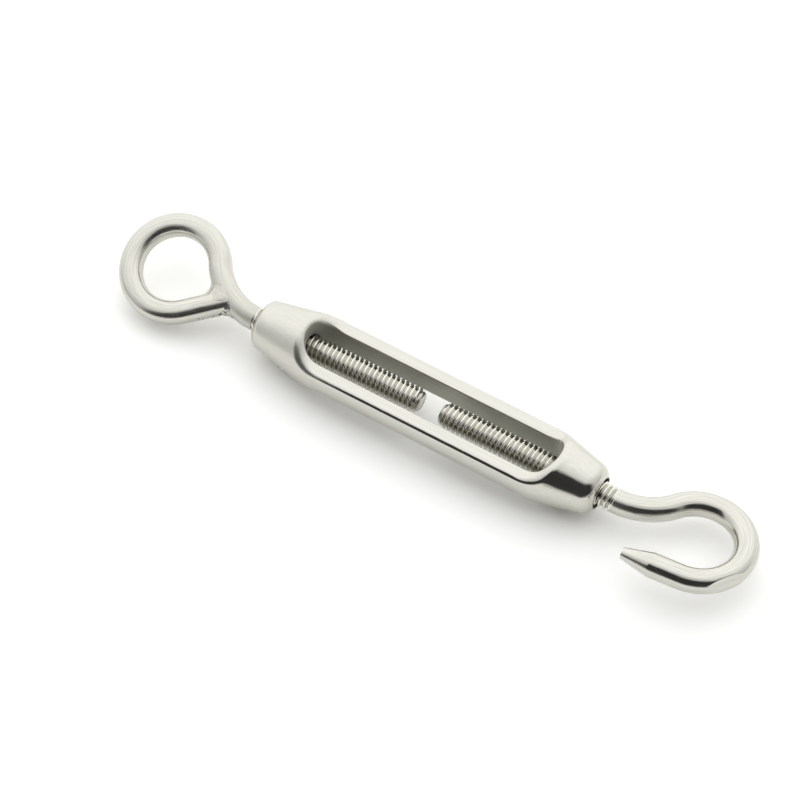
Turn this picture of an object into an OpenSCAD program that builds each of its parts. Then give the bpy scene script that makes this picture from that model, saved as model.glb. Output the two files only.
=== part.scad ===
// Rigging turnbuckle with an open cast body, one eye bolt and one hook bolt.
// The bolts lie on the X axis: the eye points to -X, the hook to +X, and the slot opens along Z.

/* [Wire and thread] */
// Diameter of the drawn wire that the eye and the hook are bent from
wire_d = 6; // [5:0.1:8]
// Largest diameter of the rolled thread, over its crests
thread_d = 6.35; // [5:0.05:8]
// Distance between neighbouring crests
thread_pitch = 1.27; // [0.8:0.01:2]
// Depth of the thread, from crest to root
thread_depth = 0.72; // [0.4:0.02:1]
// Gap between the tips of the two bolts, inside the body
tip_gap = 5.8; // [1:0.1:30]
// Length of the plain point at the tip of a bolt
tip_length = 1.4; // [1:0.1:4]
// Chamfer round the plain point
tip_chamfer = 0.5; // [0.2:0.1:1]
// How far the plain point stands above the thread's root
tip_step = 0.15; // [0.05:0.05:0.4]

/* [Body] */
// Length of the body over its two bosses
body_length = 93; // [85:0.5:140]
// Diameter of the barrel, across the two bars
body_d = 18.6; // [16:0.1:28]
// Diameter to which the boss tapers at its end
boss_end_d = 11.9; // [10:0.1:15]
// Length of the straight barrel between the two tapers
barrel_length = 62.4; // [50:0.1:100]
// Rounding round the end of the boss
end_round = 3; // [1:0.1:3.4]
// Chamfer at the mouth of each threaded bore
bore_chamfer = 0.45; // [0.2:0.05:0.8]

/* [Slot and bars] */
// Width of the slot between the bars
slot_width = 10.7; // [9:0.1:12]
// Length of the slot between the two bosses
slot_length = 68.4; // [55:0.1:110]
// Width of the flat between the two rounded corners at each end of the slot
slot_end_flat = 0.6; // [0.2:0.1:4]
// How far the slot and the barrel lie off the middle of the body, towards the hook
slot_shift = 1.2; // [0:0.1:3]
// Height of a bar between its two flat faces
bar_height = 6.7; // [5:0.1:9]
// Length of the flat faces, between the feet of the two ramps
flat_length = 62.2; // [45:0.1:90]
// Slope of the ramps that rise from the flat faces to the bosses
ramp_angle = 57; // [40:1:65]
// Hollow rounding at the foot of a ramp
ramp_r = 7.5; // [3:0.1:9]

/* [Eye] */
// Clear diameter inside the eye
eye_inner_d = 16.3; // [13:0.1:24]
// Radius of the bend between the shank and the eye, at the middle of the wire
eye_bend_r = 17.5; // [12:0.1:26]
// How far the middle of the eye lies to the side of the bolt's axis
eye_offset = 2.1; // [0:0.1:3]
// Straight shank between the end of the thread and the bend
eye_shank = 0.3; // [0.3:0.1:8]
// Angle that the wire turns through round the eye before it runs straight to the weld
eye_turn = 277; // [262:1:282]
// Turn of the eye's plane about the axis, from level
eye_roll = 20.8; // [-90:0.1:90]
// How far the end of the thread stands out of the body at the eye end
eye_standout = 1.5; // [1.4:0.1:8]

/* [Weld] */
// Thickness of the weld bead round the closing end of the eye
weld_thickness = 2; // [1:0.1:3]
// How far the weld bead stands above the wire
weld_rise = 0.4; // [0.2:0.1:0.8]

/* [Hook] */
// Clear diameter inside the bow of the hook
hook_inner_d = 16.5; // [13:0.1:24]
// Radius of the bend between the shank and the bow, at the middle of the wire
hook_bend_r = 15.6; // [10:0.1:24]
// How far the middle of the bow lies to the side of the bolt's axis
hook_offset = 0.1; // [0:0.1:3]
// Straight shank between the end of the thread and the bend
hook_shank = 0.3; // [0.3:0.1:8]
// Angle short of the lowest point of the bow at which the wire runs straight to the tip
hook_release = 5.6; // [0:0.1:30]
// Length of the straight wire between the bow and the taper of the tip
hook_straight = 7.1; // [1:0.1:10]
// Length of the taper at the tip
hook_taper = 7.2; // [4:0.1:12]
// Diameter of the small flat end of the tip
hook_tip_d = 2; // [1:0.1:3]
// Turn of the hook's plane about the axis, from level
hook_roll = -7.2; // [-90:0.1:90]
// How far the end of the thread stands out of the body at the hook end
hook_standout = 3.7; // [1.4:0.1:8]

/* [Fits] */
// Radial clearance between a thread and its bore in the body
bore_clearance = 0.1; // [0.05:0.01:0.2]
// Gap between the weld bead and the wire that it lies on
weld_gap = 0.03; // [0.02:0.01:0.06]

/* [Hidden] */
$fn = 64;
wire_r = wire_d / 2;
root_r = thread_d / 2 - thread_depth;
tip_r = root_r + tip_step;
barrel_r = body_d / 2;
boss_end_r = boss_end_d / 2;
half_body = body_length / 2;
cut_through = body_d;
// each thread runs from its bolt's tip to the end of its run-out, outside the boss
thread_length = (body_length + eye_standout + hook_standout - tip_gap) / 2;
// steps of the thread in one turn, and the turns over which it fades at each end
thread_steps = 20;
fade_turns = 1;
// how far the thread starts under the plain point and ends in the shank, in pitches
lead_in = 0.6;
lead_out = 0.2;
// the stretches of one bent wire meet inside short sleeves that are a hair thicker than the wire
seam_length = 0.6;
seam_step = 0.02;
seam_gap = 0.1;
// the middle of the eye and of the bow, on their own bolts, measured from the tip
eye_r = eye_inner_d / 2 + wire_r;
eye_bend_x = thread_length + eye_shank;
eye_x = eye_bend_x + sqrt(pow(eye_r + eye_bend_r, 2) - pow(eye_bend_r - eye_offset, 2));
eye_lean = asin((eye_bend_r - eye_offset) / (eye_r + eye_bend_r));
hook_r = hook_inner_d / 2 + wire_r;
hook_bend_x = thread_length + hook_shank;
hook_x = hook_bend_x + sqrt(pow(hook_r + hook_bend_r, 2) - pow(hook_bend_r - hook_offset, 2));
hook_lean = asin((hook_bend_r - hook_offset) / (hook_r + hook_bend_r));
// where the wire leaves the eye for the weld, and how far it runs to the middle of the bent shank
tail_angle = 180 - eye_lean - eye_turn;
tail_from = [eye_x + eye_r * cos(tail_angle), eye_offset + eye_r * sin(tail_angle)];
tail_way = [sin(tail_angle), -cos(tail_angle)];
tail_to_bend = tail_from - [eye_bend_x, eye_bend_r];
tail_along = tail_to_bend * tail_way;
tail_length = -tail_along - sqrt(pow(tail_along, 2) - tail_to_bend * tail_to_bend + pow(eye_bend_r, 2));
weld_at = -tail_along
    - sqrt(pow(tail_along, 2) - tail_to_bend * tail_to_bend + pow(eye_bend_r + wire_r, 2));

// Solid of revolution of the body: a barrel, two tapers and two rounded ends.
module spindle() {
    rotate([0, 90, 0])
        difference() {
            rotate_extrude()
                polygon([
                    [0, half_body], [boss_end_r, half_body], [barrel_r, slot_shift + barrel_length / 2],
                    [barrel_r, slot_shift - barrel_length / 2], [boss_end_r, -half_body], [0, -half_body]
                ]);
            for (end = [0, 1])
                rotate([180 * end, 0, 0])
                    rotate_extrude()
                        translate([0, half_body - end_round])
                            end_waste(half_body - barrel_length / 2 + (2 * end - 1) * slot_shift);
        }
}

// What the rounding takes off the corner of a boss with a taper of this length.
module end_waste(taper_length) {
    lean = atan((barrel_r - boss_end_r) / taper_length);
    middle = boss_end_r + end_round * tan(lean) - end_round / cos(lean);
    translate([middle, 0])
        difference() {
            polygon([
                [0, 0], [0, 2 * end_round], [2 * end_round, 2 * end_round],
                [2 * end_round * cos(lean), 2 * end_round * sin(lean)]
            ]);
            circle(end_round);
        }
}

// Outline of the slot, seen along Z.
module slot_outline() {
    corner_r = (slot_width - slot_end_flat) / 2;
    inner_l = slot_length - 2 * corner_r;
    square([slot_length, slot_end_flat], center = true);
    square([inner_l, slot_width], center = true);
    for (x = [-1, 1], y = [-1, 1])
        translate([x * inner_l / 2, y * slot_end_flat / 2])
            circle(corner_r);
}

// What is cut away above the flat faces: a trough with sloping ends and hollow corners, in X and Z.
module trough_outline() {
    floor_z = bar_height / 2;
    foot = flat_length / 2;
    reach = ramp_r * tan(ramp_angle / 2);
    top = body_d;
    run = (top - floor_z) / tan(ramp_angle);
    difference() {
        polygon([[-foot, floor_z], [foot, floor_z], [foot + run, top], [-foot - run, top]]);
        for (side = [-1, 1])
            difference() {
                polygon([
                    [side * (foot - reach), floor_z], [side * foot, floor_z],
                    [side * (foot + reach * cos(ramp_angle)), floor_z + reach * sin(ramp_angle)],
                    [side * (foot - reach), floor_z + ramp_r]
                ]);
                translate([side * (foot - reach), floor_z + ramp_r])
                    circle(ramp_r);
            }
    }
}

// The body: one casting with two bars, an open slot, and a boss with a bore at each end.
module body() {
    bore_r = thread_d / 2 + bore_clearance;
    color("gainsboro")
        difference() {
            spindle();
            translate([slot_shift, 0, 0]) {
                linear_extrude(2 * cut_through, center = true)
                    slot_outline();
                for (turn = [0, 180])
                    rotate([90 + turn, 0, 0])
                        linear_extrude(2 * cut_through, center = true)
                            trough_outline();
            }
            rotate([0, 90, 0])
                cylinder(r = bore_r, h = 2 * body_length, center = true);
            for (turn = [90, -90])
                rotate([0, turn, 0])
                    translate([0, 0, half_body - bore_chamfer])
                        cylinder(r1 = bore_r, r2 = bore_r + 2 * bore_chamfer, h = 2 * bore_chamfer);
        }
}

// One bolt's rolled thread along X: a V-shaped ridge on a helix, fading out at both ends.
// Hand is 1 for a right-hand thread and -1 for a left-hand one.
module thread(hand) {
    start_x = tip_length - lead_in * thread_pitch;
    steps = floor(((thread_length - tip_length) / thread_pitch + lead_out) * thread_steps);
    last = steps + thread_steps;
    function at(i, x, r) = [x, r * cos(360 * i / thread_steps), hand * r * sin(360 * i / thread_steps)];
    function fade(i) = min(1, i / thread_steps / fade_turns, (steps - i) / thread_steps / fade_turns);
    roots = [for (i = [0:last]) at(i, start_x + thread_pitch * i / thread_steps, root_r)];
    crests = [for (i = [0:steps])
        at(i, start_x + thread_pitch * (i / thread_steps + 0.5), root_r + thread_depth * fade(i))];
    ends = [[start_x + thread_pitch / 2, 0, 0],
        [start_x + thread_pitch * (steps / thread_steps + 0.5), 0, 0]];
    first_crest = last + 1;
    first_end = first_crest + steps + 1;
    last_end = first_end + 1;
    flanks = [for (i = [0:steps - 1]) each [
        [i, first_crest + i, first_crest + i + 1],
        [i, first_crest + i + 1, i + 1],
        [first_crest + i, i + thread_steps, i + thread_steps + 1],
        [first_crest + i, i + thread_steps + 1, first_crest + i + 1]]];
    caps = concat(
        [for (i = [0:thread_steps - 1]) each [
            [first_end, i, i + 1],
            [last_end, steps + i + 1, steps + i]]],
        [[first_end, thread_steps, first_crest], [first_end, first_crest, 0],
            [last_end, first_crest + steps, last], [last_end, steps, first_crest + steps]]);
    faces = concat(flanks, caps);
    polyhedron(
        points = concat(roots, crests, ends),
        faces = hand > 0 ? faces : [for (f = faces) [f[2], f[1], f[0]]]);
}

// Plain point at the tip of a bolt, with its chamfer.
module plain_point() {
    rotate([0, 90, 0]) {
        cylinder(r1 = tip_r - tip_chamfer, r2 = tip_r, h = tip_chamfer);
        translate([0, 0, tip_chamfer])
            cylinder(r = tip_r, h = tip_length - tip_chamfer);
    }
}

// Straight wire along X from one distance to another.
module straight_wire(from, to, r) {
    translate([from, 0, 0])
        rotate([0, 90, 0])
            cylinder(r = r, h = to - from);
}

// Wire bent round a centre in the XY plane, from one angle through another.
module bent_wire(centre, bend_r, from, through, r) {
    translate([centre[0], centre[1], 0])
        rotate([0, 0, from])
            rotate_extrude(angle = through)
                translate([bend_r, 0])
                    circle(r);
}

// Seam between two stretches of one wire, at a point round a bend's centre.
module seam(centre, bend_r, angle, r) {
    translate([centre[0], centre[1], 0])
        rotate([0, 0, angle])
            translate([bend_r, 0, 0])
                rotate([90, 0, 0])
                    cylinder(r = r + seam_step, h = seam_length, center = true);
}

// Angle that the gap inside a seam takes off a bend.
function seam_angle(bend_r) = seam_gap / bend_r * 180 / PI;

// Shank, bend and ring or bow of a bolt: the wire swings off the axis, turns back round the middle
// of the ring through an angle, and then runs straight on, where the children are placed.
module bent_end(shank, bend_r, middle, ring_r, lean, turn, r) {
    bend_at = [thread_length + shank, bend_r];
    release = 180 - lean - turn;
    straight_wire(thread_length, thread_length + shank, r);
    bent_wire(bend_at, bend_r, -90, 90 - lean - seam_angle(bend_r), r);
    seam(bend_at, bend_r, -lean, r);
    bent_wire(middle, ring_r, release + seam_angle(ring_r), turn - 2 * seam_angle(ring_r), r);
    seam(middle, ring_r, release, r);
    translate([middle[0], middle[1], 0])
        rotate([0, 0, release])
            translate([ring_r, 0, 0])
                rotate([0, 0, -90])
                    children();
}

// The bent shank and ring of the eye, up to the closing weld, on a wire of radius r.
module eye_wire(r) {
    bent_end(eye_shank, eye_bend_r, [eye_x, eye_offset], eye_r, eye_lean, eye_turn, r)
        straight_wire(0, tail_length, r);
}

// Where the eye bolt sits: turned end for end, rolled, and screwed in as far as its standout.
module place_eye() {
    rotate([eye_roll, 0, 0])
        rotate([0, 180, 0])
            translate([half_body + eye_standout - thread_length, 0, 0])
                children();
}

// The eye bolt: a right-hand thread, a bent shank and a closed eye, from one piece of wire.
module eye_bolt() {
    color("lightgray")
        place_eye() {
            thread(1);
            plain_point();
            eye_wire(wire_r);
        }
}

// The weld bead that closes the eye: a ring of filler metal where the wire's end meets the shank.
module eye_weld() {
    bead_r = wire_r + weld_rise;
    color("darkgray")
        place_eye()
            difference() {
                translate([tail_from[0], tail_from[1], 0])
                    rotate([0, 0, tail_angle - 90])
                        translate([weld_at - weld_thickness / 2, 0, 0])
                            rotate([0, 90, 0])
                                cylinder(r = bead_r, h = weld_thickness);
                eye_wire(wire_r + weld_gap);
            }
}

// The hook bolt: a left-hand thread, a bent shank, an open bow and a tapered tip.
module hook_bolt() {
    hook_turn = 270 - hook_lean - hook_release;
    color("lightgray")
        rotate([hook_roll, 0, 0])
            translate([half_body + hook_standout - thread_length, 0, 0]) {
                thread(-1);
                plain_point();
                bent_end(hook_shank, hook_bend_r, [hook_x, hook_offset],
                    hook_r, hook_lean, hook_turn, wire_r) {
                    straight_wire(0, hook_straight, wire_r);
                    translate([hook_straight, 0, 0])
                        rotate([0, 90, 0])
                            cylinder(r1 = wire_r, r2 = hook_tip_d / 2, h = hook_taper);
                }
            }
}

body();
eye_bolt();
eye_weld();
hook_bolt();
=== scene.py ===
import math

import bpy
import numpy as np
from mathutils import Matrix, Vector


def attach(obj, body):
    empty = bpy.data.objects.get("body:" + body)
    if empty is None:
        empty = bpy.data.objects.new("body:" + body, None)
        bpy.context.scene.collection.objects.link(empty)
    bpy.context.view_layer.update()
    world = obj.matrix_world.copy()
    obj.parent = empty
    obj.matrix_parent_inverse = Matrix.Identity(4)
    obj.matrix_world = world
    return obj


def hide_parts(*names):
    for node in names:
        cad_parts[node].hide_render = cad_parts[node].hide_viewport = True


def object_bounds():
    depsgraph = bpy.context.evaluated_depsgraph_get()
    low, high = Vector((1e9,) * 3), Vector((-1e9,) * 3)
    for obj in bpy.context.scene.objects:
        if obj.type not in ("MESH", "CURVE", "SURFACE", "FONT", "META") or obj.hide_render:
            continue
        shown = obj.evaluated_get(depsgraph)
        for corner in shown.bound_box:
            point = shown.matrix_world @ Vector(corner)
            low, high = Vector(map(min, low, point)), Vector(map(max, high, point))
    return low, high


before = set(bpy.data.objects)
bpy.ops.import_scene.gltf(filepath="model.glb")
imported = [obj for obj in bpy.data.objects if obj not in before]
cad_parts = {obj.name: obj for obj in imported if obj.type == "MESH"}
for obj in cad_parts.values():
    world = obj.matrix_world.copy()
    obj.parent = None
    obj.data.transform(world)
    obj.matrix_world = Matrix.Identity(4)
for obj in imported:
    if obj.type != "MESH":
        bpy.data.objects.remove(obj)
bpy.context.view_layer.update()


# The body is one stainless casting, tumbled and polished: a barrel that tapers to a boss at each end,
# a long slot between two bars, and a ramp from the flat of the bars up to each boss. The bolts screw
# into a bore through each boss. Slot walls and bores keep the casting's dull skin, the eye end is satin,
# and the bores are darkened with painted shade, as if they lay in their own shadow.
MM = 0.001
body_half = 46.5
barrel_r = 9.3
barrel_half = 31.2
boss_end_r = 5.95
end_round = 2.2
hook_end_round = 4.0
hook_end_dome = 0.6
shoulder_round = 25.0
slot_shift = 1.2
flat_z = 3.35
ramp_foot = 31.1
ramp_angle = math.radians(57)
ramp_hollow = 7.5
slot_half_length = 34.2
slot_half_width = 5.35
slot_corner = 5.05
bore_r = 3.275
bar_edge = 1.5
ramp_edge = 2.8
rim_lean = 0.36
rise_ahead = 4
rise_length = 6
slot_edge = 0.35
slot_ramp_edge = 0.6
bore_edge = 0.15
bore_mouth = 0.65
mouth_slope = 0.25


def rounded_both(a, b, r, lean=0.0):
    """Field of what lies inside two fields, with the corner between them rounded to radius r. Lean is
    the cosine of the angle between the two faces' outward directions: near the corner the field is the
    distance from the middle of the rounding, found in slanting coordinates, elsewhere the larger one."""
    u, v = a + r, b + r
    near = (u > lean * v) & (v > lean * u)
    away = np.sqrt(np.maximum(u * u + v * v - 2 * lean * u * v, 0) / (1 - lean * lean)) - r
    return np.where(near, away, np.maximum(a, b))


def body_field(x, y, z):
    """Signed distance to the casting, about: the barrel, the cone and the end of the spindle are rounded
    into each other, and the hook's end stands out as a low dome. The spindle is cut by the trough above
    and below the flats, by the slot and by the bores, whose outer mouths are wide cones. The barrel and
    the slot lie a little towards the hook, so the cones differ in length. Edges are rounder where the
    ramps rise."""
    y, z = np.abs(y), np.abs(z)
    hook_end = x > 0
    end_x, x = np.abs(x), x - slot_shift
    end_at = body_half + np.where(hook_end, hook_end_dome, 0)
    end_r = np.where(hook_end, hook_end_round, end_round)
    cone_length = body_half - barrel_half - np.sign(x) * slot_shift
    x = np.abs(x)
    out = np.hypot(y, z)
    slope = (barrel_r - boss_end_r) / cone_length
    steep = np.hypot(1, slope)
    cone = (out - boss_end_r - (body_half - end_x) * slope) / steep
    spindle = rounded_both(out - barrel_r, cone, shoulder_round, 1 / steep)
    spindle = rounded_both(spindle, end_x - end_at, end_r, slope / steep)
    ramp = (z - flat_z) * math.cos(ramp_angle) - (x - ramp_foot) * math.sin(ramp_angle)
    below = -rounded_both(flat_z - z, -ramp, ramp_hollow, math.cos(ramp_angle))
    rise = np.clip((x - ramp_foot + rise_ahead) / rise_length, 0, 1)
    rise = rise * rise * (3 - 2 * rise)
    shell = rounded_both(spindle, below, bar_edge + (ramp_edge - bar_edge) * rise, rim_lean)
    along, across = x - slot_half_length + slot_corner, y - slot_half_width + slot_corner
    slot = np.hypot(np.maximum(along, 0), np.maximum(across, 0)) - slot_corner
    slot = slot + np.minimum(np.maximum(along, across), 0)
    mouth = (bore_r + bore_mouth - (end_at - end_x) * mouth_slope - out) / math.hypot(1, mouth_slope)
    bore = np.maximum(bore_r - out, mouth)
    slot_round = slot_edge + (slot_ramp_edge - slot_edge) * rise
    return rounded_both(rounded_both(shell, -slot, slot_round), bore, bore_edge)


def slope_of(field, points, reach=0.02):
    """Gradient of a field at points, from the difference of its values a little to either side."""
    steps = reach * np.eye(3)
    return np.stack([field(*(points + s).T) - field(*(points - s).T) for s in steps], 1) / (2 * reach)


def skin_of(field, xs, ys, zs, passes=8, least_slope=0.2):
    """Closed skin where a field is zero, on a grid of cells: one point in each cell that the skin
    crosses, at the mean of its edge crossings and then slid along the slope onto the skin, and one
    quad round each grid edge that the skin cuts. Returns points, unit slopes and quads."""
    nodes = np.stack(np.meshgrid(xs, ys, zs, indexing="ij"), -1)
    value = field(*np.moveaxis(nodes, -1, 0))
    inside = value < 0
    cells = np.array(value.shape) - 1
    total = np.zeros((*cells, 3))
    count = np.zeros(cells, int)
    cuts = []
    for axis in range(3):
        low = tuple(slice(0, -1) if k == axis else slice(None) for k in range(3))
        high = tuple(slice(1, None) if k == axis else slice(None) for k in range(3))
        cut = inside[low] != inside[high]
        share = np.where(cut, value[low] / np.where(cut, value[low] - value[high], 1), 0)[..., None]
        place = np.where(cut[..., None], nodes[low] * (1 - share) + nodes[high] * share, 0)
        a, b = [k for k in range(3) if k != axis]
        for da in (0, 1):
            for db in (0, 1):
                part = [slice(None)] * 3
                part[a] = slice(da, cells[a] + da)
                part[b] = slice(db, cells[b] + db)
                total += place[tuple(part)]
                count += cut[tuple(part)]
        cuts.append((cut, inside[low]))
    used = count > 0
    number = np.full(cells, -1)
    number[used] = np.arange(used.sum())
    points = total[used] / count[used][:, None]
    for _ in range(passes):
        slope = slope_of(field, points)
        way_off = field(*points.T) / np.maximum((slope**2).sum(1), least_slope)
        points = points - way_off[:, None] * slope
    slope = slope_of(field, points)
    quads = []
    for axis, (cut, leaving) in enumerate(cuts):
        at = np.argwhere(cut)
        a, b = (axis + 1) % 3, (axis + 2) % 3
        ring = []
        for da, db in ((1, 1), (0, 1), (0, 0), (1, 0)):
            cell = at.copy()
            cell[:, a] -= da
            cell[:, b] -= db
            ring.append(number[tuple(cell.T)])
        ring = np.stack(ring, 1)
        out = leaving[cut]
        quads.append(np.where(out[:, None], ring, ring[:, ::-1]))
    return points, slope / np.linalg.norm(slope, axis=1)[:, None], np.concatenate(quads)


def piece_from(name, points, faces, normals=None, body="body", stands_for=()):
    """A mesh object from whole arrays: points in mm, faces as rows of point numbers, and, where they
    are given, the normals of the true surface. It rides on its body and hides the nodes it stands for."""
    mesh = bpy.data.meshes.new(name)
    mesh.from_pydata(points * MM, [], faces if isinstance(faces, list) else faces.tolist())
    mesh.shade_smooth()
    if normals is not None:
        mesh.normals_split_custom_set_from_vertices(normals)
    mesh.update()
    made = bpy.data.objects.new(name, mesh)
    bpy.context.scene.collection.objects.link(made)
    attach(made, body)
    if stands_for:
        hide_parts(*stands_for)
    return made


def spread(mesh, name, values):
    """Writes one number a point into a mesh as a named attribute, for its material to read."""
    marks = mesh.attributes.new(name, "FLOAT", "POINT")
    marks.data.foreach_set("value", np.asarray(values, np.float32))


fine, coarse, fine_from = 0.25, 1.25, 26.0
off_faces_x, off_faces_y = 0.011, 0.017
end_steps = np.arange(fine_from, body_half + hook_end_dome + 4 * fine, fine)
middle_steps = np.arange(-fine_from + coarse, fine_from, coarse)
body_xs = np.concatenate([-end_steps[::-1], middle_steps, end_steps]) + off_faces_x
body_ys = np.arange(-barrel_r - 3 * fine, barrel_r + 4 * fine, fine) + off_faces_y
body_points, body_normals, body_quads = skin_of(body_field, body_xs, body_ys, body_ys)
body = piece_from("body_casting", body_points, body_quads, body_normals, "body", ["body"])
wall_margin = 0.12
wall_steepness = 0.35
inward_share = 0.3
bore_from = slot_half_length - 1
satin_from = 16
satin_fade = 14
px, py, pz = np.abs(body_points.T)
in_slot = (px < slot_half_length + slot_shift) & (py < slot_half_width + wall_margin)
wall = in_slot & (np.abs(body_normals[:, 2]) < wall_steepness)
radial = np.hypot(py, pz)
turned_in = (body_points[:, 1:] * body_normals[:, 1:]).sum(1) < -inward_share * radial
in_bore = turned_in & (radial < bore_r + bore_mouth) & (px > bore_from)
spread(body.data, "rough_skin", (wall | in_bore).astype(float))
# The bore mark also sets painted shade: the material darkens the bores' colour with it.
spread(body.data, "in_bore", in_bore.astype(float))
dull_end = np.clip((-body_points[:, 0] - satin_from) / satin_fade, 0, 1)
spread(body.data, "dull_end", dull_end * dull_end * (3 - 2 * dull_end))


def new_steel(name, colour, roughness):
    """A node material of bare steel: returns it with its nodes, its links and its main shader. Colour and
    roughness are its plain values, for a viewer that doesn't follow the nodes."""
    made = bpy.data.materials.new(name)
    made.use_nodes = True
    nodes, links = made.node_tree.nodes, made.node_tree.links
    steel = nodes["Principled BSDF"]
    steel.inputs["Metallic"].default_value = 1.0
    steel.inputs["Base Color"].default_value = (*colour, 1)
    steel.inputs["Roughness"].default_value = roughness
    return made, nodes, links, steel


def node_of(nodes, kind, operation=None, **settings):
    """Adds one node, sets its operation, and sets each input named in settings: spaces are written as _,
    and second stands for the second input of a maths node."""
    made = nodes.new(kind)
    if operation:
        made.operation = operation
    for key, value in settings.items():
        made.inputs[1 if key == "second" else key.replace("_", " ")].default_value = value
    return made


def mark_read(nodes, name):
    """A node that reads one of a mesh's own attributes."""
    made = nodes.new("ShaderNodeAttribute")
    made.attribute_name = name
    return made.outputs["Fac"]


def colours_mixed(nodes, links, share, first, second):
    """A node that goes from the first colour to the second as the share goes from 0 to 1."""
    made = nodes.new("ShaderNodeMix")
    made.data_type = "RGBA"
    made.inputs["A"].default_value = (*first, 1)
    made.inputs["B"].default_value = (*second, 1)
    links.new(share, made.inputs["Factor"])
    return made.outputs["Result"]


casting_colour = (0.57, 0.562, 0.512)
skin_colour = (0.42, 0.415, 0.36)
skin_metal = 0.75
skin_dulling = 0.35
satin_dulling = 0.20
# Painted shade in the bores: their colour is cut to this share of itself.
bore_painted_shade = 0.12
streak_relief = 0.2
casting, nodes, links, steel = new_steel("polished_casting", casting_colour, 0.16)
where = nodes.new("ShaderNodeTexCoord")
skin = mark_read(nodes, "rough_skin")
stretch = node_of(nodes, "ShaderNodeMapping", Scale=(70, 2200, 2200))
links.new(where.outputs["Object"], stretch.inputs["Vector"])
streaks = node_of(nodes, "ShaderNodeTexNoise", Scale=1.0, Detail=3.0)
links.new(stretch.outputs["Vector"], streaks.inputs["Vector"])
shade = node_of(nodes, "ShaderNodeMapRange", From_Min=0.3, From_Max=0.7, To_Min=0.95, To_Max=1.03)
links.new(streaks.outputs["Fac"], shade.inputs["Value"])
toned = node_of(nodes, "ShaderNodeVectorMath", "SCALE")
links.new(colours_mixed(nodes, links, skin, casting_colour, skin_colour), toned.inputs[0])
# Painted shade: the colour falls to a small share of itself in the bores.
painted_bore_shade = node_of(nodes, "ShaderNodeMapRange", To_Min=1.0, To_Max=bore_painted_shade)
links.new(mark_read(nodes, "in_bore"), painted_bore_shade.inputs["Value"])
shaded = node_of(nodes, "ShaderNodeMath", "MULTIPLY")
links.new(shade.outputs["Result"], shaded.inputs[0])
links.new(painted_bore_shade.outputs["Result"], shaded.inputs[1])
links.new(shaded.outputs["Value"], toned.inputs["Scale"])
links.new(toned.outputs["Vector"], steel.inputs["Base Color"])
bare = node_of(nodes, "ShaderNodeMapRange", To_Min=1.0, To_Max=skin_metal)
links.new(skin, bare.inputs["Value"])
links.new(bare.outputs["Result"], steel.inputs["Metallic"])
haze = node_of(nodes, "ShaderNodeTexNoise", Scale=220.0, Detail=4.0)
links.new(where.outputs["Object"], haze.inputs["Vector"])
gloss = node_of(nodes, "ShaderNodeMapRange", From_Min=0.3, From_Max=0.7, To_Min=0.07, To_Max=0.13)
links.new(haze.outputs["Fac"], gloss.inputs["Value"])
satin = node_of(nodes, "ShaderNodeMath", "MULTIPLY_ADD", second=satin_dulling)
links.new(mark_read(nodes, "dull_end"), satin.inputs[0])
links.new(gloss.outputs["Result"], satin.inputs[2])
dulled = node_of(nodes, "ShaderNodeMath", "MULTIPLY_ADD", second=skin_dulling)
links.new(skin, dulled.inputs[0])
links.new(satin.outputs["Value"], dulled.inputs[2])
links.new(dulled.outputs["Value"], steel.inputs["Roughness"])
ripple = node_of(nodes, "ShaderNodeTexNoise", Scale=260.0, Detail=1.0)
links.new(where.outputs["Object"], ripple.inputs["Vector"])
relief = node_of(nodes, "ShaderNodeMath", "MULTIPLY_ADD", second=streak_relief)
links.new(streaks.outputs["Fac"], relief.inputs[0])
links.new(ripple.outputs["Fac"], relief.inputs[2])
bump = node_of(nodes, "ShaderNodeBump", Strength=0.06, Distance=0.001)
links.new(relief.outputs["Value"], bump.inputs["Height"])
links.new(bump.outputs["Normal"], steel.inputs["Normal"])
body.data.materials.append(casting)


# The eye bolt is one length of drawn stainless wire: a right-hand thread is rolled on one end, and the
# other end is bent off the axis and round into an eye, until its cut end meets the bend again. The
# press that bent the eye left its wire a little square, and the jaws dulled the neck behind the thread.
wire_r = 3.0
thread_r = 3.175
thread_depth = 0.72
thread_pitch = 1.27
eye_crest_lead = -0.14
crest_share = 0.2
root_share = 0.12
run_out_turns = 0.5
root_fade = 1.3
ridge_fade = 3
thread_length = 46.2
point_r = 2.3
point_slope = 0.7
shank_length = 0.3
eye_ring_r = 11.15
eye_bend_r = 17.5
eye_offset = 2.1
eye_turn = math.radians(277)
eye_roll = math.radians(20.8)
eye_tip_x = -1.8
press_power = 2.5
press_scale = 0.959
eye_dull_length = 400
eye_neck_dull = 2.0
neck_length = 20
# The plain wire's place between the painted crest highlight and the painted root shade, where the mix
# gives the wire's own colour.
plain_depth = 0.71
wire_step = 0.36
thread_fineness = 5
dense_count = 40001


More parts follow.
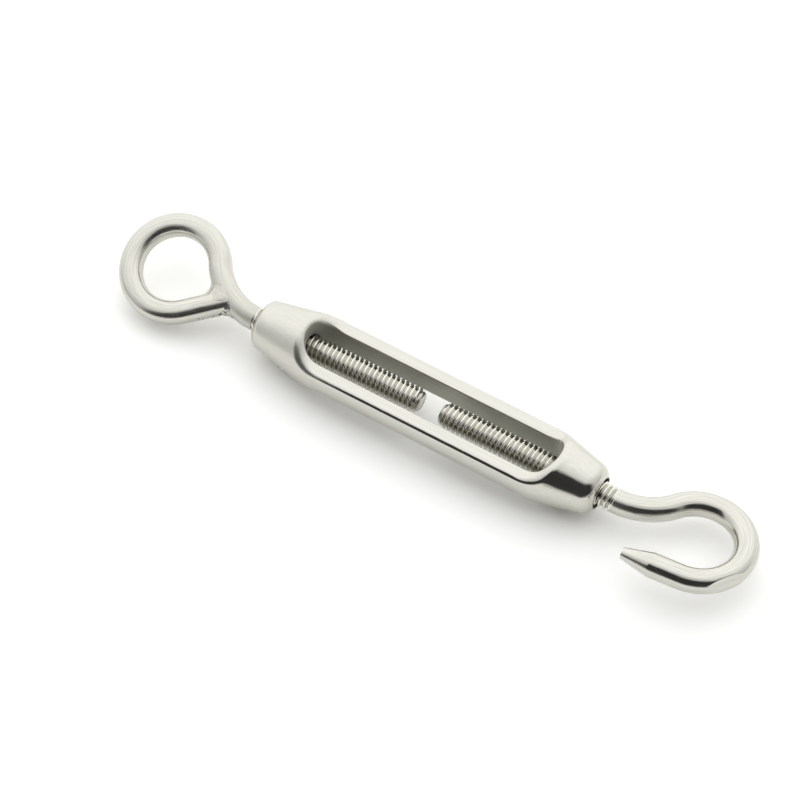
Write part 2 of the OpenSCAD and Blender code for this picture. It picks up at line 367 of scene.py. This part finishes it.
def wire_line(bend_r, ring_r, offset, turn, tail, step):
    """Middle line of a bent bolt in its own plane, from the tip along +X: straight through the thread
    and the shank, a bend to the left, a ring to the right and a straight tail. The heading turns at a
    steady rate in each stretch, and the place is the running sum of its cosine and sine."""
    lean = math.asin((bend_r - offset) / (ring_r + bend_r))
    swing = math.pi / 2 - lean
    lengths = np.array([thread_length + shank_length, bend_r * swing, ring_r * turn, tail])
    joints = np.concatenate([[0], np.cumsum(lengths)])
    headings = np.array([0, 0, swing, swing - turn, swing - turn])
    thread_steps = np.arange(0, thread_length + 1, step / thread_fineness)
    bend_steps = np.arange(thread_length + 1, joints[-1], step)
    far = np.unique(np.concatenate([thread_steps, bend_steps, joints]))
    dense = np.linspace(0, joints[-1], dense_count)
    heading = np.interp(dense, joints, headings)
    half = np.interp((dense[1:] + dense[:-1]) / 2, joints, headings)
    gone = np.concatenate([np.zeros((1, 2)), np.cumsum(np.stack([np.cos(half), np.sin(half)], 1), 0)])
    gone = gone * (dense[1] - dense[0])
    middle = np.stack([np.interp(far, dense, gone[:, k]) for k in (0, 1)], 1)
    return far, middle, np.interp(far, dense, heading), joints


def thread_round(far, angle, hand, lead, run):
    """Radius of a bolt at each distance from its tip and angle round it: a thread of straight flanks
    between a narrow crest and a narrow root, which moves on by a pitch a turn, then plain wire. A cone
    at the tip trims the first turns, and the thread fades out over its last half turn."""
    s, a = far[:, None], angle[None, :]
    wave = s / thread_pitch + lead - hand * a / (2 * math.pi)
    down = np.abs(2 * (wave - np.round(wave)))
    ridge = np.clip((1 - root_share - down) / (1 - root_share - crest_share), 0, 1)
    run_out = np.clip((run - s) / (run_out_turns * thread_pitch), 0, 1)
    root = wire_r + (thread_r - thread_depth - wire_r) * np.minimum(run_out * root_fade, 1)
    crest = wire_r + (thread_r - wire_r) * run_out
    rolled = root + (crest - root) * ridge * np.minimum(run_out * ridge_fade, 1)
    return np.where(s < run, np.minimum(rolled, point_r + s * point_slope), wire_r)


def tube(far, middle, heading, radius, angle):
    """Surface of a wire in its bolt's plane: at each place along the middle line, a ring of points at
    the given radii, square to the heading, with a middle point to close each end. The columns of the
    ring run from the left of the heading over the top. Returns points and faces."""
    left = np.stack([-np.sin(heading), np.cos(heading), 0 * heading], 1)[:, None]
    up = np.array([0, 0, 1.0])
    flat = np.stack([middle[:, 0], middle[:, 1], 0 * far], 1)
    rings = flat[:, None] + radius[..., None] * (
        left * np.cos(angle)[None, :, None] + up * np.sin(angle)[None, :, None])
    rows, columns = radius.shape
    grid = np.arange(rows * columns).reshape(rows, columns)
    turned = np.roll(grid, -1, 1)
    sides = np.stack([grid[:-1], turned[:-1], turned[1:], grid[1:]], -1).reshape(-1, 4)
    start, end = rows * columns, rows * columns + 1
    caps = np.concatenate([
        np.stack([turned[0], grid[0], np.full(columns, start)], 1),
        np.stack([grid[-1], turned[-1], np.full(columns, end)], 1)])
    points = np.concatenate([rings.reshape(-1, 3), flat[:1], flat[-1:]])
    return points, sides.tolist() + caps.tolist()


def rolled_about_x(points, roll):
    """Points turned about the bolts' axis."""
    c, s = math.cos(roll), math.sin(roll)
    return points @ np.array([[1, 0, 0], [0, c, s], [0, -s, c]])


def eye_placed(points):
    """From the eye bolt's own plane to its place: turned end for end, rolled, and screwed in."""
    return rolled_about_x(points * [-1, 1, -1], eye_roll) + [eye_tip_x, 0, 0]


columns = 72
angle = np.arange(columns) * (2 * math.pi / columns)
eye_lean = math.asin((eye_bend_r - eye_offset) / (eye_ring_r + eye_bend_r))
eye_release = math.pi - eye_lean - eye_turn
bend_centre = np.array([thread_length + shank_length, eye_bend_r])
ring_centre = np.array([bend_centre[0] + (eye_ring_r + eye_bend_r) * math.cos(eye_lean), eye_offset])
tail_start = ring_centre + eye_ring_r * np.array([math.cos(eye_release), math.sin(eye_release)])
tail_way = np.array([math.sin(eye_release), -math.cos(eye_release)])
off_bend = tail_start - bend_centre
tail_back = off_bend @ tail_way
eye_tail = -tail_back - math.sqrt(tail_back**2 - off_bend @ off_bend + eye_bend_r**2)
eye_far, eye_middle, eye_heading, eye_joints = wire_line(
    eye_bend_r, eye_ring_r, eye_offset, eye_turn, eye_tail, wire_step)
pressed = np.clip((eye_far - eye_joints[1]) / eye_bend_r, 0, 1)[:, None]
squared = (np.abs(np.cos(angle))**press_power + np.abs(np.sin(angle))**press_power)**(-1 / press_power)
eye_radius = thread_round(eye_far, angle, 1, eye_crest_lead, thread_length)
eye_radius = eye_radius * (1 + (press_scale * squared - 1) * pressed)
eye_points, eye_faces = tube(eye_far, eye_middle, eye_heading, eye_radius, angle)
eye_bolt = piece_from("eye_bolt_wire", eye_placed(eye_points), eye_faces, None,
                      "eye_bolt", ["eye_bolt"])


def mark_wire(piece, far, radius, run, dull_length, neck_dull=0):
    """Attributes for the wire's finish: how far along the wire each point is, in mm, the angle round
    it in turns, folded so that it meets itself, how deep it lies in the thread, with a set depth for
    plain wire, and how much the jaws that held the wire behind the thread dulled it. That falls
    evenly over the dull length, and in the neck an extra amount falls over the neck's length."""
    along = np.concatenate([np.repeat(far, columns), far[[0, -1]]])
    around = np.concatenate([np.tile(np.abs(angle / math.pi - 1), len(far)), [0, 0]])
    depth = np.where(far[:, None] < run, (thread_r - radius) / thread_depth, plain_depth)
    behind = along - run
    held = np.clip(1 - behind / dull_length, 0, 1) + neck_dull * np.clip(1 - behind / neck_length, 0, 1)
    held = np.where(behind < 0, 0, held)
    spread(piece.data, "along", along)
    spread(piece.data, "held", held)
    spread(piece.data, "around", around)
    spread(piece.data, "depth", np.concatenate([np.clip(depth, 0, 1).ravel(), [plain_depth] * 2]))


mark_wire(eye_bolt, eye_far, eye_radius, thread_length, eye_dull_length, eye_neck_dull)
wire_colour = (0.575, 0.567, 0.515)
# Painted light on the thread: crests are lighter than the steel as a painted highlight, roots darker as
# painted shade in the grooves.
crest_highlight_colour = (0.76, 0.75, 0.69)
root_shade_colour = (0.50, 0.493, 0.445)
jaw_dulling = 0.13
drawn_relief = 0.5
drawn_wire, nodes, links, steel = new_steel("drawn_wire", wire_colour, 0.16)
where = nodes.new("ShaderNodeTexCoord")
laid = nodes.new("ShaderNodeCombineXYZ")
links.new(mark_read(nodes, "along"), laid.inputs["X"])
links.new(mark_read(nodes, "around"), laid.inputs["Y"])
stretch = node_of(nodes, "ShaderNodeMapping", Scale=(0.12, 34, 1))
links.new(laid.outputs["Vector"], stretch.inputs["Vector"])
drawn = node_of(nodes, "ShaderNodeTexNoise", Scale=1.0, Detail=4.0)
links.new(stretch.outputs["Vector"], drawn.inputs["Vector"])
# Painted highlight on the crests and painted shade in the roots, mixed by the depth in the thread.
tint_and_painted_light = colours_mixed(nodes, links, mark_read(nodes, "depth"), crest_highlight_colour, root_shade_colour)
shade = node_of(nodes, "ShaderNodeMapRange", From_Min=0.32, From_Max=0.68, To_Min=0.86, To_Max=1.07)
links.new(drawn.outputs["Fac"], shade.inputs["Value"])
toned = node_of(nodes, "ShaderNodeVectorMath", "SCALE")
links.new(tint_and_painted_light, toned.inputs[0])
links.new(shade.outputs["Result"], toned.inputs["Scale"])
links.new(toned.outputs["Vector"], steel.inputs["Base Color"])
haze = node_of(nodes, "ShaderNodeTexNoise", Scale=300.0, Detail=4.0)
links.new(where.outputs["Object"], haze.inputs["Vector"])
mixed = node_of(nodes, "ShaderNodeMath", "ADD")
links.new(haze.outputs["Fac"], mixed.inputs[0])
links.new(drawn.outputs["Fac"], mixed.inputs[1])
gloss = node_of(nodes, "ShaderNodeMapRange", From_Min=0.7, From_Max=1.3, To_Min=0.08, To_Max=0.18)
links.new(mixed.outputs["Value"], gloss.inputs["Value"])
dulled = node_of(nodes, "ShaderNodeMath", "MULTIPLY_ADD", second=jaw_dulling)
links.new(mark_read(nodes, "held"), dulled.inputs[0])
links.new(gloss.outputs["Result"], dulled.inputs[2])
links.new(dulled.outputs["Value"], steel.inputs["Roughness"])
ripple = node_of(nodes, "ShaderNodeTexNoise", Scale=240.0, Detail=1.0)
links.new(where.outputs["Object"], ripple.inputs["Vector"])
relief = node_of(nodes, "ShaderNodeMath", "MULTIPLY_ADD", second=drawn_relief)
links.new(drawn.outputs["Fac"], relief.inputs[0])
links.new(ripple.outputs["Fac"], relief.inputs[2])
bump = node_of(nodes, "ShaderNodeBump", Strength=0.06, Distance=0.001)
links.new(relief.outputs["Value"], bump.inputs["Height"])
links.new(bump.outputs["Normal"], steel.inputs["Normal"])
eye_bolt.data.materials.append(drawn_wire)


# The weld closes the eye: a fillet of filler metal where the cut end of the wire meets the bend. It
# was ground smooth on top and left rough, with pits and scale, in the corner on the outer side. The dark
# spots there are partly scale and partly painted shade in the pits.
weld_blend = 3.0
weld_spread = 1.2
weld_sink = 0.12
weld_reach = 7.6
weld_lump = 0.11
weld_rim = 0.5
weld_cell = 0.16
weld_margin = 0.6
least_lean, most_lean = -0.5, 0.97
rough_from = 1.0
rough_fade = 1.2
rough_up_to = -2.4
weld_spot = np.array([*(tail_start + (eye_tail - wire_r) * tail_way), 0])
outer_side = np.array([-tail_way[1], tail_way[0], 0])
outer_side = outer_side * np.sign((weld_spot[:2] - ring_centre) @ outer_side[:2])


def left_rough(x, y, z):
    """How rough the weld was left, from 0 to 1: it grows towards the outer corner and fades on top,
    which is -Z in the eye bolt's own plane."""
    aside = (x - weld_spot[0]) * outer_side[0] + (y - weld_spot[1]) * outer_side[1]
    outer = np.clip((aside - rough_from) / rough_fade, 0, 1)
    return outer * np.clip((z - rough_up_to) / rough_fade, 0, 1)


def weld_field(x, y, z):
    """Field of the weld in the eye bolt's plane: the bend's ring and the tail's rod joined with a
    hollow fillet that takes the angle between their faces, a little under the wire's own face, with
    uneven lumps from sines of two sizes where it was left rough, and kept to a ball round the joint."""
    from_bend = np.hypot(x - bend_centre[0], y - bend_centre[1])
    off_ring = from_bend - eye_bend_r
    bend = np.hypot(off_ring, z) - wire_r
    run = np.clip((x - tail_start[0]) * tail_way[0] + (y - tail_start[1]) * tail_way[1], 0, eye_tail)
    off_x, off_y = x - tail_start[0] - run * tail_way[0], y - tail_start[1] - run * tail_way[1]
    tail = np.sqrt(off_x**2 + off_y**2 + z**2)
    level = ((x - bend_centre[0]) * off_x + (y - bend_centre[1]) * off_y) * off_ring / from_bend
    lean = (level + z * z) / np.maximum((bend + wire_r) * tail, 0.01)
    lean = np.clip(lean, least_lean, most_lean)
    blend = weld_blend * (1 + weld_spread * np.maximum(lean, 0))
    joined = -rounded_both(-bend, wire_r - tail, blend, lean)
    lumps = (np.sin(3.1 * x + 1.3 * np.sin(1.7 * y)) * np.sin(3.6 * y + 2.1 * z)
             + 0.8 * np.sin(6.3 * x - 5.1 * z) * np.sin(7.2 * y + 3.2 * z + 1.0))
    ball = np.sqrt((x - weld_spot[0])**2 + (y - weld_spot[1])**2 + z**2) - weld_reach
    return rounded_both(joined + weld_sink - weld_lump * lumps * left_rough(x, y, z), ball, weld_rim)


weld_steps = np.arange(-weld_reach - weld_margin, weld_reach + weld_margin, weld_cell)
weld_points, weld_normals, weld_quads = skin_of(
    weld_field, weld_spot[0] + weld_steps, weld_spot[1] + weld_steps, weld_steps)
weld = piece_from("eye_weld_fillet", eye_placed(weld_points), weld_quads,
                  eye_placed(weld_normals) - [eye_tip_x, 0, 0], "eye_bolt", ["eye_weld"])
spread(weld.data, "left_rough", left_rough(*weld_points.T))
weld_colour = (0.575, 0.567, 0.515)
# Dark spots in the rough corner: partly scale, partly painted shade in the pits.
scale_and_pit_shade_colour = (0.10, 0.097, 0.085)
weld_metal, nodes, links, steel = new_steel("weld_metal", weld_colour, 0.25)
where = nodes.new("ShaderNodeTexCoord")
rough = mark_read(nodes, "left_rough")
pits = node_of(nodes, "ShaderNodeTexNoise", Scale=1100.0, Detail=3.0)
links.new(where.outputs["Object"], pits.inputs["Vector"])
# Where the rough corner gets its dark spots, partly scale and partly painted pit shade.
scale_and_pit_shade_spots = node_of(nodes, "ShaderNodeMapRange", From_Min=0.48, From_Max=0.60)
links.new(pits.outputs["Fac"], scale_and_pit_shade_spots.inputs["Value"])
spots = node_of(nodes, "ShaderNodeMath", "MULTIPLY")
links.new(scale_and_pit_shade_spots.outputs["Result"], spots.inputs[0])
links.new(rough, spots.inputs[1])
tint_and_painted_light = colours_mixed(nodes, links, spots.outputs["Value"], weld_colour, scale_and_pit_shade_colour)
shade = node_of(nodes, "ShaderNodeMapRange", From_Min=0.35, From_Max=0.65, To_Min=0.82, To_Max=1.0)
links.new(pits.outputs["Fac"], shade.inputs["Value"])
toned = node_of(nodes, "ShaderNodeVectorMath", "SCALE")
links.new(tint_and_painted_light, toned.inputs[0])
links.new(shade.outputs["Result"], toned.inputs["Scale"])
links.new(toned.outputs["Vector"], steel.inputs["Base Color"])
gloss = node_of(nodes, "ShaderNodeMapRange", From_Min=0.35, From_Max=0.7, To_Min=0.22, To_Max=0.36)
links.new(pits.outputs["Fac"], gloss.inputs["Value"])
links.new(gloss.outputs["Result"], steel.inputs["Roughness"])
height = node_of(nodes, "ShaderNodeMath", "MULTIPLY")
links.new(pits.outputs["Fac"], height.inputs[0])
links.new(rough, height.inputs[1])
bump = node_of(nodes, "ShaderNodeBump", Strength=0.4, Distance=0.0004)
links.new(height.outputs["Value"], bump.inputs["Height"])
links.new(bump.outputs["Normal"], steel.inputs["Normal"])
weld.data.materials.append(weld_metal)


# The hook bolt is the same wire with a left-hand thread: its free end is bent into an open bow and
# ground to a blunt cone. The bending tool left a flat on the outside of the bow. Like the eye bolt, it
# screws into the body.
hook_ring_r = 11.25
hook_bend_r = 15.6
hook_offset = 0.1
hook_release = math.radians(5.6)
hook_straight = 7.1
hook_taper = 7.2
hook_tip_r = 1.4
hook_roll = math.radians(-7.2)
hook_tip_x = 4.0
hook_crest_lead = -0.01
hook_thread_more = 0.7
hook_thread_run = thread_length + hook_thread_more
hook_dull_length = 18
flat_at = math.radians(-33)
flat_tilt = math.radians(12)
flat_depth = 0.88
flat_reach = 2.5 * wire_r


def hook_placed(points):
    """From the hook bolt's own plane to its place: rolled, and screwed in."""
    return rolled_about_x(points, hook_roll) + [hook_tip_x, 0, 0]


hook_lean = math.asin((hook_bend_r - hook_offset) / (hook_ring_r + hook_bend_r))
hook_turn = 1.5 * math.pi - hook_lean - hook_release
hook_far, hook_middle, hook_heading, hook_joints = wire_line(
    hook_bend_r, hook_ring_r, hook_offset, hook_turn, hook_straight + hook_taper, wire_step)
taper_from = hook_joints[-1] - hook_taper
hook_radius = thread_round(hook_far, angle, -1, hook_crest_lead, hook_thread_run)
into_taper = np.clip(hook_far - taper_from, 0, None)[:, None]
hook_radius = hook_radius - into_taper * (wire_r - hook_tip_r) / hook_taper
hook_points, hook_faces = tube(hook_far, hook_middle, hook_heading, hook_radius, angle)
bow_x = thread_length + shank_length + (hook_ring_r + hook_bend_r) * math.cos(hook_lean)
bow_middle = np.array([bow_x, hook_offset, 0])
outward = np.array([math.cos(flat_at), math.sin(flat_at), 0])
flat_normal = outward * math.cos(flat_tilt) + np.array([0, 0, math.sin(flat_tilt)])
flat_base = bow_middle + outward * hook_ring_r + flat_normal * (wire_r - flat_depth)
above = np.clip((hook_points - flat_base) @ flat_normal, 0, None)
above[np.linalg.norm(hook_points - flat_base, axis=1) > flat_reach] = 0
hook_points = hook_points - above[:, None] * flat_normal
hook_bolt = piece_from("hook_bolt_wire", hook_placed(hook_points), hook_faces, None,
                       "hook_bolt", ["hook_bolt"])
mark_wire(hook_bolt, hook_far, hook_radius, hook_thread_run, hook_dull_length)
hook_bolt.data.materials.append(drawn_wire)


# The floor is a sheet of matt white paper under the lowest point of the turnbuckle. To the camera and
# in the metal it is a little whiter than it is as a source of light, and it keeps its shadows.
floor_size = 2.8
paper_white = (0.93, 0.93, 0.92)
shown_white = (1.2, 1.2, 1.185)
floor_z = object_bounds()[0][2]
floor_mesh = bpy.data.meshes.new("floor_sheet")
reach = floor_size / 2
floor_corners = [(-reach, -reach), (reach, -reach), (reach, reach), (-reach, reach)]
floor_mesh.from_pydata([(*corner, floor_z) for corner in floor_corners], [], [(0, 1, 2, 3)])
floor = bpy.data.objects.new("floor_sheet", floor_mesh)
bpy.context.scene.collection.objects.link(floor)
paper = bpy.data.materials.new("white_paper")
paper.use_nodes = True
nodes, links = paper.node_tree.nodes, paper.node_tree.links
nodes.clear()
end = nodes.new("ShaderNodeOutputMaterial")
sheet = nodes.new("ShaderNodeBsdfDiffuse")
links.new(sheet.outputs["BSDF"], end.inputs["Surface"])
ray = nodes.new("ShaderNodeLightPath")
shown = node_of(nodes, "ShaderNodeMath", "MAXIMUM")
links.new(ray.outputs["Is Camera Ray"], shown.inputs[0])
links.new(ray.outputs["Is Glossy Ray"], shown.inputs[1])
shown_through = node_of(nodes, "ShaderNodeMath", "MAXIMUM")
links.new(shown.outputs["Value"], shown_through.inputs[0])
links.new(ray.outputs["Is Transmission Ray"], shown_through.inputs[1])
white = colours_mixed(nodes, links, shown_through.outputs["Value"], paper_white, shown_white)
links.new(white, sheet.inputs["Color"])
floor_mesh.materials.append(paper)


# The light is a round tent of white cloth, brightest at the back, with a wide dark opening at the lens.
# The opening is bounded by four angles, each of them soft from the first number to the second, and its
# top edge drops towards the right.
tent_r = 1.4
bright_side = (118, 41)
bright_level = 1.52
plain_level = 0.82
bright_reach = 0.86
opening_azimuth = -66
opening_left = (-60, -50)
opening_right = (78, 46)
opening_foot = (1, 9)
opening_top = (68, 55)
opening_level = 0.05
opening_drop = 38


def towards(azimuth, elevation):
    """Unit vector at an azimuth from +X and an elevation from level, in degrees."""
    a, e = math.radians(azimuth), math.radians(elevation)
    return np.array([math.cos(e) * math.cos(a), math.cos(e) * math.sin(a), math.sin(e)])


rows, turns = 32, 64
polar = np.linspace(0, math.pi, rows)[:, None]
round_about = (np.arange(turns) * 2 * math.pi / turns)[None]
tent_points = np.stack([np.sin(polar) * np.cos(round_about), np.sin(polar) * np.sin(round_about),
                        np.cos(polar) + 0 * round_about], -1).reshape(-1, 3) * tent_r
grid = np.arange(rows * turns).reshape(rows, turns)
turned = np.roll(grid, -1, 1)
tent_faces = np.stack([grid[:-1], turned[:-1], turned[1:], grid[1:]], -1).reshape(-1, 4)
tent_mesh = bpy.data.meshes.new("light_tent")
tent_mesh.from_pydata(tent_points, [], tent_faces.tolist())
tent_mesh.shade_smooth()
tent = bpy.data.objects.new("light_tent", tent_mesh)
bpy.context.scene.collection.objects.link(tent)
cloth = bpy.data.materials.new("tent_cloth")
cloth.use_nodes = True
cloth.cycles.emission_sampling = "NONE"
nodes, links = cloth.node_tree.nodes, cloth.node_tree.links
nodes.clear()
end = nodes.new("ShaderNodeOutputMaterial")
glow = nodes.new("ShaderNodeEmission")
links.new(glow.outputs["Emission"], end.inputs["Surface"])
where = nodes.new("ShaderNodeTexCoord")
aim = node_of(nodes, "ShaderNodeVectorMath", "NORMALIZE")
links.new(where.outputs["Object"], aim.inputs[0])
ahead, to_right, up = towards(opening_azimuth, 0), towards(opening_azimuth + 90, 0), (0, 0, 1)
parts = []
for axis in (towards(*bright_side), ahead, to_right, up):
    parts.append(node_of(nodes, "ShaderNodeVectorMath", "DOT_PRODUCT", second=axis))
    links.new(aim.outputs["Vector"], parts[-1].inputs[0])
level = node_of(nodes, "ShaderNodeMapRange", From_Min=0.0, From_Max=bright_reach,
                To_Min=plain_level, To_Max=bright_level)
level.interpolation_type = "SMOOTHSTEP"
links.new(parts[0].outputs["Value"], level.inputs["Value"])
sideways = node_of(nodes, "ShaderNodeMath", "ARCTAN2")
links.new(parts[2].outputs["Value"], sideways.inputs[0])
links.new(parts[1].outputs["Value"], sideways.inputs[1])
upwards = node_of(nodes, "ShaderNodeMath", "ARCSINE")
links.new(parts[3].outputs["Value"], upwards.inputs[0])
past = node_of(nodes, "ShaderNodeMapRange", From_Max=math.radians(opening_right[0]))
links.new(sideways.outputs["Value"], past.inputs["Value"])
bent = node_of(nodes, "ShaderNodeMath", "MULTIPLY")
links.new(past.outputs["Result"], bent.inputs[0])
links.new(past.outputs["Result"], bent.inputs[1])
raised = node_of(nodes, "ShaderNodeMath", "MULTIPLY_ADD", second=math.radians(opening_drop))
links.new(bent.outputs["Value"], raised.inputs[0])
links.new(upwards.outputs["Value"], raised.inputs[2])
dark = None
for angle_off, (cloth_at, dark_at) in ((sideways, opening_left), (sideways, opening_right),
                                       (upwards, opening_foot), (raised, opening_top)):
    edge = node_of(nodes, "ShaderNodeMapRange",
                   From_Min=math.radians(cloth_at), From_Max=math.radians(dark_at))
    edge.interpolation_type = "SMOOTHSTEP"
    links.new(angle_off.outputs["Value"], edge.inputs["Value"])
    if dark:
        both = node_of(nodes, "ShaderNodeMath", "MULTIPLY")
        links.new(dark, both.inputs[0])
        links.new(edge.outputs["Result"], both.inputs[1])
        dark = both.outputs["Value"]
    else:
        dark = edge.outputs["Result"]
shine = nodes.new("ShaderNodeMix")
links.new(dark, shine.inputs["Factor"])
links.new(level.outputs["Result"], shine.inputs["A"])
shine.inputs["B"].default_value = opening_level
links.new(shine.outputs["Result"], glow.inputs["Strength"])
tent_mesh.materials.append(cloth)
world = bpy.data.worlds.new("studio")
world.use_nodes = True
world.node_tree.nodes["Background"].inputs["Color"].default_value = (1, 1, 1, 1)
bpy.context.scene.world = world


# The camera looks down on the near bar from beyond the hook, with a long lens. Its place and its
# direction were fitted to the outlines of the body, the slot, the eye and the hook.
lens_place = (0.232681, -0.392994, 0.676810)
lens_way = (-0.292603, 0.478325, -0.828003)
image_width = 800
lens_pixels = 3467.14
camera_data = bpy.data.cameras.new("camera")
camera_data.sensor_width = 36
camera_data.sensor_fit = "HORIZONTAL"
camera_data.lens = lens_pixels / image_width * camera_data.sensor_width
camera_data.clip_end = 10
camera = bpy.data.objects.new("camera", camera_data)
camera.location = lens_place
camera.rotation_euler = Vector(lens_way).to_track_quat("-Z", "Y").to_euler()
bpy.context.scene.collection.objects.link(camera)
bpy.context.scene.camera = camera
bpy.context.scene.view_settings.view_transform = "Standard"
